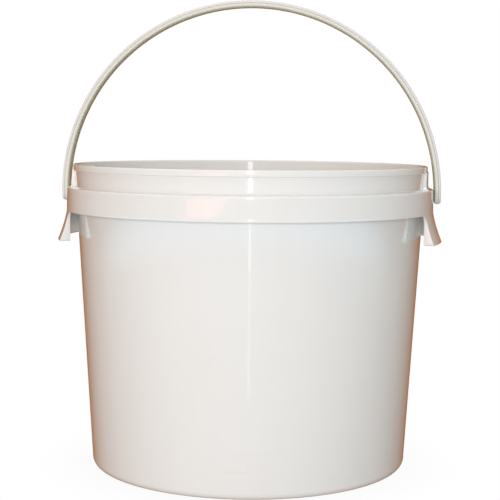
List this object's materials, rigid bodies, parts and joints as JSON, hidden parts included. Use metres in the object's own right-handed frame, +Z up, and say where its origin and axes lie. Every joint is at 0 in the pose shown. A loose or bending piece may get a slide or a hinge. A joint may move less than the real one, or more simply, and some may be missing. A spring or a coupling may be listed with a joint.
{
  "type": "fermenting bucket",
  "caption": "Round tapered plastic bucket with a rolled rim, a hanging collar with flared ears, and a swinging bail handle.",
  "frame": {"origin": "centre of the circle that the bucket stands on, at floor level", "axes": "+Z up along the bucket's axis; X along the handle's pivot axis; the bucket is the same at both ends of X and of Y"},
  "size_m": [0.2876, 0.2744, 0.3467],
  "materials": {
    "bucket_plastic": "smooth moulded food-grade polypropylene",
    "handle_plastic": "smooth moulded polypropylene"
  },
  "bodies": {
    "bucket_body": {"bucket": "bucket_plastic"},
    "handle_body": {"bail_handle": "handle_plastic"}
  },
  "joints": [
    {"name": "handle_swing", "type": "hinge", "parent": "bucket_body", "child": "handle_body", "pos_m": [0, 0, 0.2024], "axis": [1, 0, 0], "range_deg": [-98, 98]}
  ]
}
